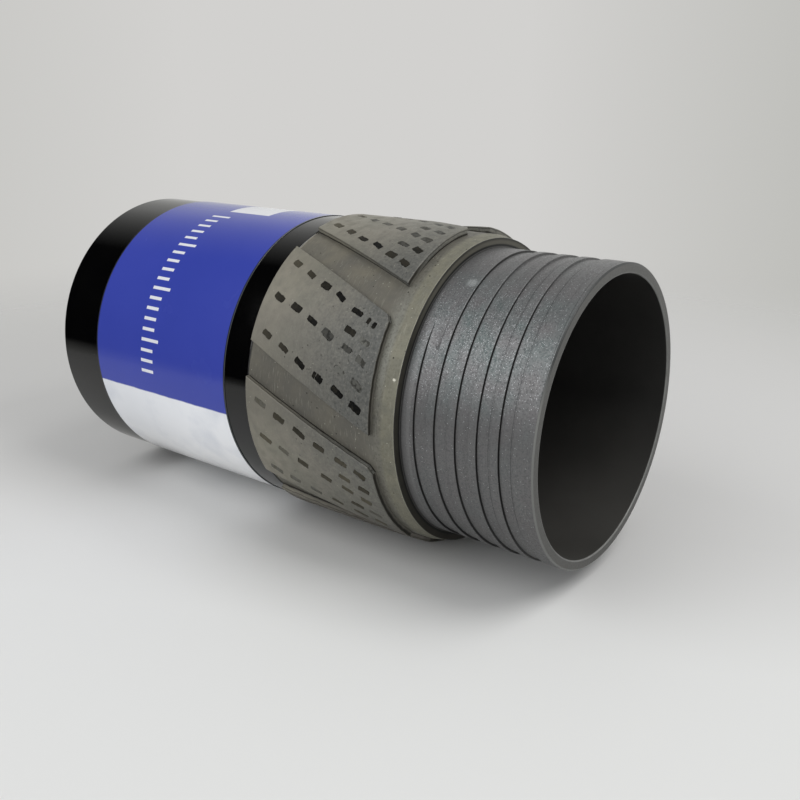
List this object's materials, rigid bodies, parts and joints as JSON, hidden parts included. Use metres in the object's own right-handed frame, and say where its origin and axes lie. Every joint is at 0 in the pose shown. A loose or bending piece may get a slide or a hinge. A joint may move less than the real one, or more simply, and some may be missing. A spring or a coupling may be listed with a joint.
{
  "type": "diamond reaming shell",
  "caption": "Hollow steel drilling sub with helical sintered pads set with hard inserts, a threaded pin at one end and a threaded box at the other, that keeps a cored hole to gauge.",
  "frame": {"origin": "centre of the rear face, on the axis; the part stands on this face", "axes": "+Z along the axis from the box end to the pin's nose; -Y faces the picture's camera"},
  "size_m": [0.095, 0.095, 0.181],
  "materials": {
    "shell_steel": "gloss black paint on the barrel, grey phosphate on the pin",
    "wrap_label": "satin film, blue with a pale stripe along it",
    "pad_matrix": "matte sintered metal, olive grey",
    "hard_insert": "matte dark brown"
  },
  "bodies": {
    "root": {"shell_body": "shell_steel", "label": "wrap_label", "pad_1": "pad_matrix", "pad_2": "pad_matrix", "pad_3": "pad_matrix", "pad_4": "pad_matrix", "pad_5": "pad_matrix", "pad_6": "pad_matrix", "pad_7": "pad_matrix", "inserts_1": "hard_insert", "inserts_2": "hard_insert", "inserts_3": "hard_insert", "inserts_4": "hard_insert", "inserts_5": "hard_insert", "inserts_6": "hard_insert", "inserts_7": "hard_insert"}
  },
  "joints": []
}
